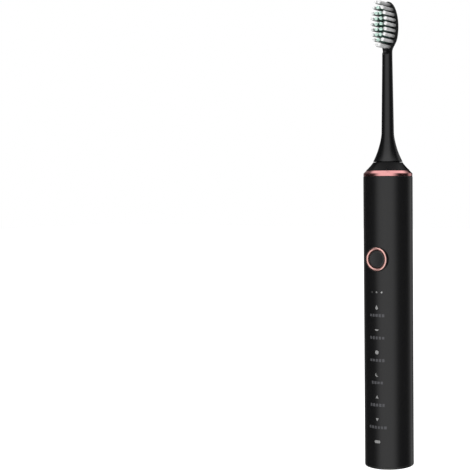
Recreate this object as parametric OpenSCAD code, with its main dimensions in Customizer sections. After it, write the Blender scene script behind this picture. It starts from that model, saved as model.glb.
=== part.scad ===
// Sonic toothbrush: a handle with its motor, cell and charging coil, and a brush head that pulls off.
// Millimetres. +Z runs up the drive shaft, the front with button and bristles faces -Y,
// and the base stands on Z = 0 with the charging socket on the Z axis.

/* [Handle] */
// Outside diameter of the handle
handle_d = 26.5; // [26:0.5:32]
// Height of the housing's top rim above the surface it stands on
handle_l = 156; // [130:1:190]
// Thickness of the housing's wall
wall = 1.6; // [1.3:0.1:2]
// Height of the base cap's rim, below the housing
base_rim_h = 1.4; // [1:0.1:3]
// Radius on the housing's top rim and the base cap's lower edge
rim_fillet = 0.5; // [0.3:0.1:1]

/* [Trim ring and shoulder] */
// Height of the trim ring
ring_h = 2.9; // [2.2:0.1:4]
// Width and height of the bevel round the ring's top
ring_bevel = 1.4; // [0.8:0.1:1.8]
// Height of the shoulder above the trim ring
shoulder_h = 4.5; // [4:0.1:8]
// Diameter of the shoulder's top
shoulder_top_d = 15.9; // [15:0.1:18]

/* [Brush head] */
// Gap between the shoulder and the brush head
head_gap = 0.3; // [0.2:0.05:0.8]
// Length of the brush head
head_l = 85.5; // [80:0.1:100]
// Diameter of the brush head's foot
head_foot_d = 16; // [15:0.1:18]
// Height of the flare above the foot
flare_h = 15; // [12:0.5:20]
// Diameter of the neck above the flare
neck_d = 6.7; // [6.2:0.1:8]
// Diameter of the neck below the plate
neck_top_d = 5.5; // [5:0.1:6.5]
// Width of the bristle plate
plate_w = 11.4; // [10:0.1:14]
// Length of the bristle plate
plate_l = 26.8; // [26:0.1:32]
// Thickness of the bristle plate
plate_t = 3.1; // [2.8:0.1:4]
// Distance from the shaft's axis back to the plate's front face
plate_y = 0.75; // [0:0.05:1.2]

/* [Bristles] */
// Diameter of one tuft
tuft_d = 1.7; // [1.2:0.05:1.8]
// Free length of a tuft in the middle of the plate
tuft_l = 11.1; // [8:0.1:13]
// Extra length of the first and last row
tuft_rise = 1.6; // [0:0.1:2.5]
// Distance between rows
row_pitch = 2.8; // [2.4:0.1:3]
// Distance between the outermost tufts of the middle row
field_w = 8.7; // [8:0.1:10]

/* [Button] */
// Distance of the button's centre below the housing's top rim
button_drop = 43.9; // [40:0.1:50]
// Outside diameter of the bezel
bezel_d = 12.6; // [12:0.1:14]
// Width of the bezel's band
bezel_w = 1.4; // [1:0.05:1.6]
// Travel of the button
button_travel = 0.4; // [0.2:0.05:0.5]

/* [Indicator windows] */
// Distance of the three level dots below the housing's top rim
dot_drop = 61.4; // [60:0.1:66]
// Diameter of a level dot
dot_d = 1.1; // [0.8:0.1:1.5]
// Distance between level dots
dot_pitch = 2.9; // [2.4:0.1:3.4]
// Distance of the first mode window below the housing's top rim
first_window_drop = 69.5; // [69:0.1:76]
// Height of the charge window above the surface
charge_window_h = 14.8; // [14:0.1:24]
// Size of a mode window
window_size = 2.3; // [1.6:0.1:2.6]

/* [Drive] */
// Diameter of the drive shaft
shaft_d = 3; // [2.6:0.1:3.2]
// Length of shaft standing out of the shoulder
shaft_out = 21.9; // [18:0.1:26]
// Depth of the flat that keys the brush head
flat_depth = 0.4; // [0.3:0.05:0.6]
// Outside diameter of the motor
motor_d = 19.2; // [18:0.1:19.6]
// Length of the motor
motor_l = 28.5; // [27:0.5:34]

/* [Cell, board and charging socket] */
// Diameter of the bare cell
cell_d = 14; // [12:0.1:14.2]
// Length of the cell's can
cell_l = 49; // [40:0.5:52]
// Width of the circuit board
board_w = 15; // [14:0.1:16]
// Thickness of the circuit board
board_t = 1; // [0.8:0.1:1.6]
// Diameter of the charging socket
socket_d = 8.5; // [7:0.1:9.5]
// Depth of the charging socket
socket_depth = 10; // [8:0.5:11]

/* [Fits] */
// Radial gap between pieces that are fixed to each other
fit_gap = 0.05; // [0.02:0.01:0.08]
// Radial gap round pieces that slide
slide_gap = 0.15; // [0.1:0.01:0.2]
// Radial gap between shaft and bushes
run_gap = 0.03; // [0.02:0.01:0.06]

/* [Hidden] */
$fn = 72;

black = [0.13, 0.13, 0.14];
gloss_black = [0.05, 0.05, 0.06];
rose_gold = [0.83, 0.55, 0.5];
steel = [0.7, 0.71, 0.73];
bronze = [0.66, 0.47, 0.28];
copper = [0.78, 0.42, 0.22];
silicone_grey = [0.3, 0.31, 0.33];
frame_grey = [0.55, 0.56, 0.58];

// How far a cutting shape runs past the face that it cuts
past = 1;

// Handle, from the surface up
handle_r = handle_d / 2;
inner_r = handle_r - wall;
ring_z = handle_l;
ring_top_z = ring_z + ring_h;
ring_r = handle_r - 0.1;
ring_top_r = ring_r - ring_bevel;
shoulder_z = ring_top_z + shoulder_h;
seam_bevel = 0.25;
spigot_r = inner_r - 0.45;
spigot_l = 12;

// Seal round the shaft, in the shoulder's top
seal_z = shoulder_z - 3.3;
seal_pocket_r = shaft_d / 2 + 3.7;
seal_hole_r = shaft_d / 2 + 1.5;

// Base cap and the socket for the charger's post
skirt_r = inner_r - fit_gap;
skirt_t = 2;
skirt_top_z = 9;
base_floor_t = 2;
socket_r = socket_d / 2;
socket_wall = 1;
socket_top_t = 1.2;
socket_tube_r = socket_r + socket_wall;
ring_cord_r = 0.6;
groove_r = inner_r - 2 * ring_cord_r - 0.05;
groove_half_h = 0.8;
base_groove_z = 6;
spigot_groove_z = handle_l - 4;
bead_z = 3.4;
bead_h = 0.25;

// Motor, hung from the shoulder cap
motor_r = motor_d / 2;
motor_z1 = handle_l - 5.5;
motor_z0 = motor_z1 - motor_l;
damper_t = 0.8;
cover_t = 1.8;
motor_gap = 0.4;
nest_r = motor_r + motor_gap;
ledge_r = motor_r - 1.4;
can_wall = 0.6;
can_r = motor_r - can_wall;
cover_spigot_h = 1;
hub_r = 4.4;
hub_h = 4;
bush_r = 3;
bush_flange_t = 0.7;
bush_flange_r = bush_r + 0.7;
shaft_r = shaft_d / 2;
stack_h = 14;
stack_z = (motor_z0 + motor_z1) / 2;
rotor_r = 3.1;
magnet_r = 4.35;
air_gap = 0.4;
pole_r = magnet_r + air_gap;
shoe_t = 0.55;
yoke_r = can_r - fit_gap;
yoke_t = 0.75;
neck_half_w = 1.6;
former_t = 0.25;
winding_r = yoke_r - yoke_t - fit_gap;
winding_half_w = 3.5;
motor_screw_pcd = motor_d - 6.2;
lead_y = motor_r - 2.1;
lead_x = 3;
motor_screw_angles = [90, 210, 330];

// Board, behind the front wall
board_front = inner_r - 5.05;
board_back = board_front - board_t;
frame_top_t = 1.6;
frame_z1 = motor_z0;
frame_z0 = 14.5;
board_z0 = frame_z0 - 2;
board_z1 = frame_z1 - frame_top_t - 0.9;
frame_r = inner_r - 0.3;
frame_front = board_back - fit_gap;
shield_half_w = 4.6;
board_screw_head_r = 1.3;
board_screw_x = shield_half_w + board_screw_head_r + 0.1;
board_screw_z = [frame_z0 + 2.4, board_z1 - 3];
led_t = 0.7;

// Cell, behind the board
sleeve_t = 0.15;
cell_r = cell_d / 2;
bay_gap = 0.2;
bay_r = cell_r + sleeve_t + bay_gap;
cell_y = -frame_front + 0.5 + cell_r + sleeve_t;
bay_end = 3.2;
bay_z0 = frame_z0 + 5;
cell_z0 = bay_z0 + bay_end;
can_t = 0.3;
cell_cap_t = 1.2;
cell_button_h = 0.8;
cell_button_r = 2.6;
bay_z1 = cell_z0 + cell_l + bay_end;
contact_t = 0.2;
contact_w = 4;
frame_shell_t = 1.5;
frame_rib_t = 1.4;
frame_rib_gap = 12;

// Charging coil, round the socket
former_z0 = base_floor_t + 0.02;
former_h = 9;
former_flange_t = 0.8;
former_tube_r = socket_tube_r + fit_gap + 0.6;
former_flange_r = skirt_r - skirt_t - 0.25;
coil_r = former_flange_r - 0.4;

// Button and its seal, on the front, measured along -Y
button_z = handle_l - button_drop;
bezel_r = bezel_d / 2;
bezel_inner_r = bezel_r - bezel_w;
bezel_seat = 1;
bezel_stand = 0.3;
boss_r = bezel_r + 0.4;
boss_front = handle_r + 0.1;
seat_face = boss_front - bezel_seat;
seal_t = 0.6;
clamp_t = 0.5;
seal_face = inner_r - 1.65;
boss_back = seal_face - seal_t - clamp_t;
cap_r = bezel_inner_r - slide_gap;
cap_flange_r = cap_r + 0.75;
flange_recess_r = cap_flange_r + 0.3;
seal_r = flange_recess_r + 1.1;
boss_inner_r = seal_r + 0.85;
flange_stop = seal_face + 1;
flange_t = 0.5;
cap_front = boss_front - 0.15;
dish_r = 45;
dish_depth = 0.3;
switch_w = 6;
switch_t = 1.7;
plunger_r = 1;
plunger_h = 0.6;
plunger_tip = board_front + switch_t + plunger_h;
switch_well = 1;

// Indicator windows, on the front
dot_z = handle_l - dot_drop;
window_z1 = handle_l - first_window_drop;
window_count = 7;
window_step = (window_z1 - charge_window_h) / (window_count - 1);
window_zs = [for (i = [0:window_count - 1]) window_z1 - i * window_step];
guide_r = inner_r - fit_gap;
guide_t = 1.4;
guide_half_w = 4.2;
guide_margin = 1.8;
shield_top = sqrt(pow(guide_r - guide_t, 2) - pow(shield_half_w, 2)) - 0.1;
shield_web = 0.6;

// Brush head, from its foot up
head_z0 = shoulder_z + head_gap;
head_z1 = head_z0 + head_l;
foot_r = head_foot_d / 2;
neck_r = neck_d / 2;
neck_top_r = neck_top_d / 2;
foot_wall = 1.1;
shaft_z1 = shoulder_z + shaft_out;
flat_l = shaft_out - 8;
insert_r = shaft_r + 0.75;
insert_z0 = head_z0 + 4.2;
insert_z1 = shaft_z1 + 1.2;
hollow_h = 9;
clip_w = 1.8;
clip_t = 0.25;
clip_z0 = insert_z0 + 4;
clip_z1 = insert_z1 - 3;
groove_z = (clip_z0 + clip_z1) / 2;
groove_depth = 0.3;
groove_w = 1.2;
joint_z = insert_z1 + 6;
blend_h = 7;
plate_half_w = plate_w / 2;
plate_half_l = plate_l / 2;
plate_z = head_z1 - plate_half_l;
plate_z0 = plate_z - plate_half_l;

// Tufts, in rows across the plate
row_tufts = [2, 3, 4, 4, 4, 4, 4, 3, 2];
row_last = len(row_tufts) - 1;
field_z = plate_z + 0.4;
field_half_l = row_pitch * (row_last / 2) + 0.7;
tuft_r = tuft_d / 2;
hole_depth = 2.1;
hole_floor = 0.45;
anchor_t = 0.3;
anchor_h = 1.2;

// ---- Helpers ----

// Stands a shape on the front: its Z becomes -Y, at height z
module on_front(z = 0, x = 0) {
    translate([x, 0, z]) rotate([90, 0, 0]) children();
}

module ring(r_out, r_in, z0, z1) {
    rotate_extrude() translate([r_in, z0]) square([r_out - r_in, z1 - z0]);
}

// A box that spans x either side of the middle, from y0 to y1 and from z0 to z1
module slab(half_x, y0, y1, z0, z1) {
    translate([-half_x, y0, z0]) cube([2 * half_x, y1 - y0, z1 - z0]);
}

function bezier(a, b, c, d, n) = [for (i = [0:n]) let (t = i / n, u = 1 - t)
    u * u * u * a + 3 * u * u * t * b + 3 * u * t * t * c + t * t * t * d];

function fillet(cx, cz, r, from, to, n = 6) =
    [for (i = [0:n]) let (a = from + (to - from) * i / n) [cx + r * cos(a), cz + r * sin(a)]];

// Rings of points joined into one closed skin, with flat ends
module skin(rings) {
    n = len(rings[0]);
    last = len(rings) - 1;
    points = [for (r = rings) each r];
    sides = [for (k = [0:last - 1], i = [0:n - 1]) let (j = (i + 1) % n)
        each [[k * n + i, (k + 1) * n + i, k * n + j], [k * n + j, (k + 1) * n + i, (k + 1) * n + j]]];
    foot = [for (i = [0:n - 1]) i];
    top = [for (i = [n - 1:-1:0]) last * n + i];
    polyhedron(points, concat([foot], sides, [top]));
}

// A wire of radius r along a line of points
module wire(path, r, sides = 8) {
    last = len(path) - 1;
    skin([for (k = [0:last]) let (
        t = path[min(k + 1, last)] - path[max(k - 1, 0)],
        w = t / norm(t),
        side = abs(w[0]) > 0.9 ? [0, 1, 0] : [1, 0, 0],
        u = cross(w, side) / norm(cross(w, side)),
        v = cross(w, u))
        [for (i = [0:sides - 1]) path[k] + r * (cos(360 * i / sides) * u + sin(360 * i / sides) * v)]]);
}

// ---- Handle ----

module housing_tube() {
    z0 = base_rim_h;
    rotate_extrude() polygon(concat([[inner_r, z0], [handle_r, z0]],
        fillet(handle_r - rim_fillet, handle_l - rim_fillet, rim_fillet, 0, 90),
        [[inner_r, handle_l]]));
}

module window_shape(i, inset) {
    s = window_size / 2 - inset;
    if (i == 0) drop_shape(s);
    if (i == 1) smile_shape(s);
    if (i == 2) circle(s);
    if (i == 3) crescent_shape(s, inset);
    if (i == 4) triangle_shape(s);
    if (i == 5) mirror([0, 1]) triangle_shape(s);
    if (i == 6) pill_shape(s);
}

module drop_shape(s) {
    polygon(concat([[0, 1.25 * s]], fillet(0, -0.35 * s, 0.75 * s, 25, -205, 20)));
}

module smile_shape(s) {
    polygon([for (a = [200:10:340]) [1.2 * s * cos(a), 0.75 * s + 1.25 * s * sin(a)]]);
}

module crescent_shape(s, inset) {
    cut = window_size / 2;
    difference() {
        circle(s);
        translate([0.5 * cut, 0.35 * cut]) circle(0.85 * cut + inset);
    }
}

module triangle_shape(s) {
    polygon([[0, 0.95 * s], [-0.85 * s, -0.65 * s], [0.85 * s, -0.65 * s]]);
}

module pill_shape(s) {
    polygon(concat(fillet(0.9 * s, 0, 0.75 * s, -90, 90, 8), fillet(-0.9 * s, 0, 0.75 * s, 90, 270, 8)));
}

// The windows' shapes, inset by a gap, from the axis out past the wall
module window_prisms(gap, reach) {
    for (i = [0:window_count - 1]) on_front(window_zs[i]) linear_extrude(reach) window_shape(i, gap * 2);
    for (k = [-1:1]) on_front(dot_z, k * dot_pitch) cylinder(r = dot_d / 2 - gap, h = reach);
}

module snap_groove(gap) {
    rotate_extrude() polygon([[inner_r - past, bead_z - 1 - gap], [inner_r, bead_z - 1 - gap],
        [inner_r + bead_h, bead_z - 0.6], [inner_r + bead_h, bead_z + 0.6], [inner_r, bead_z + 1 + gap],
        [inner_r - past, bead_z + 1 + gap]]);
}

module housing() {
    color(black) difference() {
        union() {
            housing_tube();
            on_front(button_z) translate([0, 0, seat_face - 0.6])
                cylinder(r = boss_r, h = boss_front - seat_face + 0.6);
            intersection() {
                on_front(button_z) translate([0, 0, boss_back])
                    cylinder(r = boss_inner_r, h = inner_r + 0.4 - boss_back);
                cylinder(r = inner_r + 0.5, h = handle_l);
            }
        }
        on_front(button_z) {
            translate([0, 0, seat_face]) cylinder(r = bezel_r + fit_gap, h = bezel_seat + past);
            translate([0, 0, boss_back - past]) cylinder(r = bezel_inner_r, h = handle_r);
            translate([0, 0, boss_back - past])
                cylinder(r = flange_recess_r, h = flange_stop - boss_back + past);
            translate([0, 0, boss_back - past])
                cylinder(r = seal_r + fit_gap, h = seal_face - boss_back + past);
        }
        difference() {
            window_prisms(0, handle_r + past);
            cylinder(r = inner_r - 0.5, h = handle_l);
        }
        snap_groove(fit_gap);
    }
}

module trim_ring() {
    color(rose_gold) rotate_extrude() polygon([[spigot_r + fit_gap, ring_z], [ring_r - 0.1, ring_z],
        [ring_r, ring_z + 0.1], [ring_r, ring_top_z - ring_bevel], [ring_top_r, ring_top_z],
        [spigot_r + fit_gap, ring_top_z]]);
}

module shoulder_cap() {
    foot_z = handle_l - spigot_l;
    ledge_z = motor_z1 + damper_t;
    cavity_z = ring_top_z - 1.2;
    // A low rim under the head's foot closes the view through the gap and keeps splashes off the seal
    rim_r = foot_r - foot_wall - 0.4;
    rim_h = 0.9;
    flare = bezier([ring_top_r - 0.05, ring_top_z + seam_bevel], [ring_top_r - 1.4, ring_top_z + 1.5],
        [shoulder_top_d / 2 + 0.9, shoulder_z - 1.4], [shoulder_top_d / 2, shoulder_z], 16);
    color(gloss_black) rotate_extrude() polygon(concat(
        [[spigot_r, foot_z], [spigot_r, spigot_groove_z - groove_half_h],
        [groove_r, spigot_groove_z - groove_half_h],
            [groove_r, spigot_groove_z + groove_half_h], [spigot_r, spigot_groove_z + groove_half_h],
            [spigot_r, ring_top_z], [ring_top_r - seam_bevel - 0.05, ring_top_z]],
        flare,
        [[rim_r, shoulder_z], [rim_r - 0.3, shoulder_z + rim_h], [seal_pocket_r, shoulder_z + rim_h],
        [seal_pocket_r, seal_z], [seal_hole_r, seal_z], [seal_hole_r, cavity_z],
            [ledge_r, cavity_z], [ledge_r, ledge_z], [nest_r, ledge_z], [nest_r, foot_z]]));
}

module shoulder_o_ring() {
    // Sits in the spigot's groove and bears on the housing's bore
    color(silicone_grey) rotate_extrude() translate([inner_r - ring_cord_r - 0.01, spigot_groove_z])
        circle(ring_cord_r);
}

module shaft_seal() {
    lip_r = shaft_r + run_gap;
    neck = lip_r + 1;
    flange_r = seal_pocket_r - 0.1;
    color(silicone_grey) rotate_extrude()
        polygon([[lip_r, seal_z], [flange_r, seal_z], [flange_r, seal_z + 1],
        [neck + 0.7, seal_z + 1], [neck, seal_z + 1.5], [neck + 0.7, seal_z + 2.2], [neck, seal_z + 2.9],
        [neck, seal_z + 4.3], [lip_r + 0.4, seal_z + 4.8], [lip_r, seal_z + 4.8]]);
}

module seal_retainer() {
    color(steel) ring(seal_pocket_r - fit_gap, seal_pocket_r - 1.6, seal_z + 1, seal_z + 1.8);
}

module base_cap() {
    tube_top_z = socket_depth + socket_top_t;
    color(gloss_black) difference() {
        rotate_extrude() polygon(concat([[0, 0]],
            fillet(handle_r - rim_fillet, rim_fillet, rim_fillet, -90, 0),
            [[handle_r, base_rim_h - 0.15], [handle_r - 0.15, base_rim_h], [skirt_r, base_rim_h],
                [skirt_r, bead_z - 0.9], [skirt_r + bead_h, bead_z - 0.5], [skirt_r + bead_h, bead_z + 0.5],
                [skirt_r, bead_z + 0.9], [skirt_r, base_groove_z - groove_half_h],
                [groove_r, base_groove_z - groove_half_h],
                [groove_r, base_groove_z + groove_half_h], [skirt_r, base_groove_z + groove_half_h],
                [skirt_r, skirt_top_z],
                [skirt_r - skirt_t, skirt_top_z], [skirt_r - skirt_t, base_floor_t],
                [socket_tube_r, base_floor_t], [socket_tube_r, tube_top_z], [0, tube_top_z]]));
        translate([0, 0, -past]) cylinder(r = socket_r, h = socket_depth + past);
    }
}

module base_o_ring() {
    color(silicone_grey) rotate_extrude() translate([inner_r - ring_cord_r - 0.01, base_groove_z])
        circle(ring_cord_r);
}

// ---- Button and switch ----

module button_bezel() {
    // A round bead in front, on a plain band that sits in the boss
    bead_r = bezel_w / 2;
    color(rose_gold) on_front(button_z) rotate_extrude()
        polygon(concat([[bezel_inner_r, seat_face], [bezel_r, seat_face]],
        fillet(bezel_r - bead_r, boss_front + bezel_stand - bead_r, bead_r, 0, 180, 14)));
}

module button_cap() {
    rounding = 0.3;
    post_r = 2;
    color(gloss_black) on_front(button_z) difference() {
        rotate_extrude() polygon(concat([[0, seal_face + 0.02], [post_r, seal_face + 0.02],
            [post_r, flange_stop - 0.03 - flange_t], [cap_flange_r, flange_stop - 0.03 - flange_t],
            [cap_flange_r, flange_stop - 0.03], [cap_r, flange_stop - 0.03]],
            fillet(cap_r - rounding, cap_front - rounding, rounding, 0, 90),
            [[0, cap_front]]));
        translate([0, 0, cap_front + dish_r - dish_depth]) sphere(r = dish_r);
    }
}

module button_seal() {
    web = 0.25;
    pad_r = 2.4;
    color(silicone_grey) on_front(button_z) rotate_extrude() polygon([[0, plunger_tip], [1.5, plunger_tip],
        [1.8, seal_face - seal_t], [pad_r, seal_face - seal_t], [pad_r + 0.4, seal_face - web],
        [seal_r - 1.4, seal_face - web], [seal_r - 1.1, seal_face - seal_t], [seal_r, seal_face - seal_t],
        [seal_r, seal_face], [0, seal_face]]);
}

module seal_clamp() {
    color(frame_grey) on_front(button_z)
        ring(seal_r, seal_r - 1.1, seal_face - seal_t - clamp_t, seal_face - seal_t);
}

module switch_body() {
    leg = 0.8;
    color(steel) on_front(button_z) difference() {
        union() {
            translate([-switch_w / 2, -switch_w / 2, board_front]) cube([switch_w, switch_w, switch_t]);
            for (x = [-1, 1], y = [-1, 1]) translate([x * (switch_w / 2 + 0.2) - leg / 2,
                y * 2.2 - leg / 2, board_front])
                cube([leg, leg, 0.3]);
        }
        translate([0, 0, board_front + switch_t - switch_well])
            cylinder(r = plunger_r + 0.1, h = past + switch_well);
    }
}

module switch_plunger() {
    color(gloss_black) on_front(button_z)
        translate([0, 0, board_front + switch_t - switch_well + button_travel + 0.1])
        cylinder(r = plunger_r, h = plunger_h + switch_well - button_travel - 0.1);
}

// ---- Lights and board ----

module light_guide() {
    top_z = dot_z + guide_margin;
    foot_z = charge_window_h - guide_margin;
    color([0.9, 0.92, 0.95, 0.6]) union() {
        intersection() {
            ring(guide_r, guide_r - guide_t, foot_z, top_z);
            slab(guide_half_w, -handle_r, -1, foot_z, top_z);
        }
        intersection() {
            difference() {
                window_prisms(fit_gap, handle_r + past);
                cylinder(r = guide_r - guide_t / 2, h = handle_l);
            }
            cylinder(r = handle_r - 0.05, h = handle_l);
        }
    }
}

module light_shield() {
    top_z = dot_z + guide_margin;
    foot_z = charge_window_h - guide_margin;
    cell_half = 1.2;
    color(black) difference() {
        slab(shield_half_w, -shield_top, -board_front, foot_z, top_z);
        for (z = window_zs) slab(shield_half_w - shield_web * 3, -shield_top - past, -board_front + past,
            z - cell_half, z + cell_half);
        for (k = [-1:1]) translate([k * dot_pitch, 0, dot_z])
            slab(cell_half, -shield_top - past, -board_front + past, -cell_half, cell_half);
    }
}

module led(x, z) {
    translate([x - 0.8, -board_front - led_t, z - 0.5]) cube([1.6, led_t, 1]);
}

module indicator_leds() {
    color([0.95, 0.93, 0.8]) {
        for (z = window_zs) led(0, z);
        for (k = [-1:1]) led(k * dot_pitch, dot_z);
    }
}

module circuit_board() {
    color([0.05, 0.3, 0.15]) difference() {
        slab(board_w / 2, -board_front, -board_back, board_z0, board_z1);
        for (x = [-1, 1], z = board_screw_z) on_front(z, x * board_screw_x)
            translate([0, 0, board_back - past]) cylinder(r = 0.95, h = board_t + 2 * past);
        translate([0, 0, board_z0]) slab(2.2, -board_front - past, -board_back + past, -past, 1.2);
    }
}

module controller_chip() {
    z = (dot_z + button_z) / 2;
    pins = 5;
    color(gloss_black) {
        slab(2.5, -board_front - 1, -board_front - 0.05, z - 2, z + 2);
        for (side = [-1, 1], k = [0:pins - 1])
            translate([side * 2.9 - 0.4, -board_front - 0.25, z - 1.75 + k * 0.8]) cube([0.8, 0.25, 0.3]);
    }
}

module board_parts() {
    // Small capacitors, resistors and diodes down both edges of the board
    column_x = board_w / 2 - 1.3;
    count = 8;
    span = dot_z - charge_window_h - 12;
    color([0.55, 0.45, 0.35]) for (side = [-1, 1], k = [0:count - 1]) let (h = k % 3 == 0 ? 1.1 : 0.6)
        translate([side * column_x - 0.5, -board_front - h, charge_window_h + 8 + k * span / count])
            cube([1, h, 1.8]);
}

module board_screw(x, z) {
    on_front(z, x) difference() {
        union() {
            translate([0, 0, board_front]) cylinder(r = board_screw_head_r, h = 0.9);
            translate([0, 0, board_back - 4]) cylinder(r = 0.8, h = 4.5 + board_t);
        }
        translate([-0.9, -0.2, board_front + 0.5]) cube([1.8, 0.4, past]);
        translate([-0.2, -0.9, board_front + 0.5]) cube([0.4, 1.8, past]);
    }
}

module board_screws() {
    color(steel) for (x = [-1, 1], z = board_screw_z) board_screw(x * board_screw_x, z);
}

// ---- Frame, cell and charging coil ----

module frame_bay() {
    // U-shaped slot that the cell drops into from the front
    translate([0, 0, bay_z0]) linear_extrude(bay_z1 - bay_z0) polygon(concat(
        fillet(0, cell_y, bay_r, 0, 180, 24), [[-bay_r, -handle_r], [bay_r, -handle_r]]));
}

module frame_hollow(z0, z1) {
    translate([0, 0, z0]) intersection() {
        cylinder(r = frame_r - frame_shell_t, h = z1 - z0);
        slab(handle_r, -handle_r, handle_r, 0, z1 - z0);
    }
}

module inner_frame() {
    hollow_z0 = bay_z1 + frame_rib_t;
    hollow_z1 = frame_z1 - frame_top_t;
    cells = max(1, floor((hollow_z1 - hollow_z0) / frame_rib_gap));
    step = (hollow_z1 - hollow_z0 + frame_rib_t) / cells;
    color(frame_grey) difference() {
        union() {
            intersection() {
                translate([0, 0, frame_z0]) cylinder(r = frame_r, h = frame_z1 - frame_z0);
                slab(handle_r, -frame_front, handle_r, frame_z0, frame_z1);
            }
            translate([0, 0, frame_z1 - frame_top_t]) cylinder(r = frame_r, h = frame_top_t);
        }
        frame_bay();
        for (k = [0:cells - 1]) frame_hollow(hollow_z0 + k * step,
            hollow_z0 + (k + 1) * step - frame_rib_t);
        // Lightening window in the bay's back
        slab(4, 0, handle_r, bay_z0 + 8, bay_z1 - 8);
        // Screw holes, room for the shaft's end, and a notch for the motor's leads
        for (x = [-1, 1], z = board_screw_z) on_front(z, x * board_screw_x)
            translate([0, 0, board_back - 4.6]) cylinder(r = 0.8 + fit_gap, h = 5);
        for (a = motor_screw_angles) rotate(a)
            translate([motor_screw_pcd / 2, 0, frame_z1 - frame_top_t - past])
            cylinder(r = 0.9, h = frame_top_t + 2 * past);
        translate([0, 0, frame_z1 - frame_top_t - past])
            cylinder(r = bush_flange_r + 0.3, h = frame_top_t + 2 * past);
        slab(4.5, -handle_r, -motor_screw_pcd / 2 + 0.4, frame_z1 - frame_top_t - past, frame_z1 + past);
        // Room for the button's boss
        on_front(button_z) translate([0, 0, boss_back - slide_gap])
            cylinder(r = boss_inner_r + slide_gap, h = inner_r);
        // Passage for the coil's leads
        slab(2.6, -handle_r, -frame_front + 1.8, frame_z0 - past, frame_z0 + 1.5);
        // Seats that the cell's contacts fold down into
        for (z = [cell_z0 - 2.6, cell_z0 + cell_l + 0.6])
            slab(contact_w / 2 + 0.3, -frame_front - past, -frame_front + 1, z, z + 2);
    }
}

module cell_can() {
    lip_r = cell_r - 1.2;
    bore_r = cell_r - can_t;
    color([0.6, 0.62, 0.64]) translate([0, cell_y, cell_z0]) rotate_extrude()
        polygon([[0, 0], [cell_r - 0.3, 0],
        [cell_r, 0.3], [cell_r, cell_l - 0.3], [cell_r - 0.3, cell_l], [lip_r, cell_l],
        [lip_r, cell_l - can_t],
        [bore_r, cell_l - can_t], [bore_r, can_t], [0, can_t]]);
}

module cell_cap() {
    r = cell_r - can_t - 0.02;
    z = cell_l - can_t - 0.02;
    color(steel) translate([0, cell_y, cell_z0]) rotate_extrude()
        polygon([[0, z - cell_cap_t], [r, z - cell_cap_t],
        [r, z], [cell_button_r + 0.6, z], [cell_button_r, z + 0.3],
        [cell_button_r, cell_l + cell_button_h - 0.2],
        [cell_button_r - 0.2, cell_l + cell_button_h], [0, cell_l + cell_button_h]]);
}

module cell_core() {
    // The rolled foils
    top = cell_l - can_t - cell_cap_t - 0.6;
    color([0.3, 0.3, 0.32]) translate([0, cell_y, cell_z0])
        ring(cell_r - can_t - 0.1, 0.8, can_t + 0.3, top);
}

module cell_sleeve() {
    lap = 1.2;
    r = cell_r + sleeve_t;
    color([0.1, 0.25, 0.55]) translate([0, cell_y, cell_z0]) rotate_extrude() polygon([
        [cell_r - lap, -sleeve_t], [r - 0.3, -sleeve_t], [r, 0.15], [r, cell_l - 0.15],
        [r - 0.3, cell_l + sleeve_t],
        [cell_r - lap, cell_l + sleeve_t], [cell_r - lap, cell_l + 0.02], [cell_r - 0.28, cell_l + 0.02],
        [cell_r + 0.02, cell_l - 0.28], [cell_r + 0.02, 0.28], [cell_r - 0.28, -0.02],
        [cell_r - lap, -0.02]]);
}

// A nickel strip from the cell's end, folded up or down behind the board
module cell_contact(z, fold) {
    y0 = -board_back + 0.02;
    slab(contact_w / 2, y0, cell_y + 2.4, z, z + contact_t);
    slab(contact_w / 2, y0, y0 + contact_t, min(z, z + fold), max(z + contact_t, z + fold));
}

module cell_contacts() {
    color(steel) {
        union() cell_contact(cell_z0 + cell_l + cell_button_h + 0.02, 1.5);
        union() cell_contact(cell_z0 - sleeve_t - contact_t - 0.05, -1.5);
    }
}

module cell_pads() {
    // Foam between the bay's ends and the contacts
    lower = cell_z0 - sleeve_t - contact_t - 0.08;
    upper = cell_z0 + cell_l + cell_button_h + contact_t + 0.05;
    color([0.2, 0.2, 0.2]) translate([0, cell_y, 0]) {
        slab(3, -1, 4, bay_z0 + 0.02, lower);
        slab(3, -1, 4, upper, bay_z1 - 0.02);
    }
}

module coil_former() {
    // The collar on top carries the frame, and is open in front for the board's foot
    top_z = former_z0 + former_h;
    collar_r = former_flange_r - 1;
    color([0.25, 0.23, 0.22]) difference() {
        rotate_extrude() polygon([[socket_tube_r + fit_gap, former_z0], [former_flange_r, former_z0],
            [former_flange_r, former_z0 + former_flange_t], [former_tube_r, former_z0 + former_flange_t],
            [former_tube_r, top_z - former_flange_t], [former_flange_r, top_z - former_flange_t],
            [former_flange_r, frame_z0], [collar_r, frame_z0], [collar_r, top_z],
            [socket_tube_r + fit_gap, top_z]]);
        slab(handle_r, -handle_r, -board_back + 0.5, top_z, frame_z0 + past);
    }
}

module charging_coil() {
    color(copper) ring(coil_r, former_tube_r + fit_gap, former_z0 + former_flange_t + fit_gap,
        former_z0 + former_h - former_flange_t - fit_gap);
}

module coil_leads() {
    // From the upper flange, forward and up to the board's lower edge, beside the light shield
    x = shield_half_w + 0.6;
    y1 = -board_front - 0.45;
    z0 = former_z0 + former_h;
    color([0.75, 0.2, 0.15]) for (side = [-1, 1])
        wire([[side * x, y1 + 0.4, z0 + 0.1], [side * x, y1 + 0.25, z0 + 0.8],
        [side * x, y1 - 0.05, z0 + 1.5], [side * x, y1 - 0.05, z0 + 3]], 0.4);
}

// ---- Motor ----

module motor_cover() {
    // Outer face down, at Z = 0
    difference() {
        union() {
            cylinder(r = motor_r, h = cover_t);
            cylinder(r = can_r - fit_gap, h = cover_t + cover_spigot_h);
            cylinder(r = hub_r, h = hub_h);
        }
        translate([0, 0, -past]) cylinder(r = bush_r + fit_gap, h = hub_h + 2 * past);
    }
}

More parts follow.
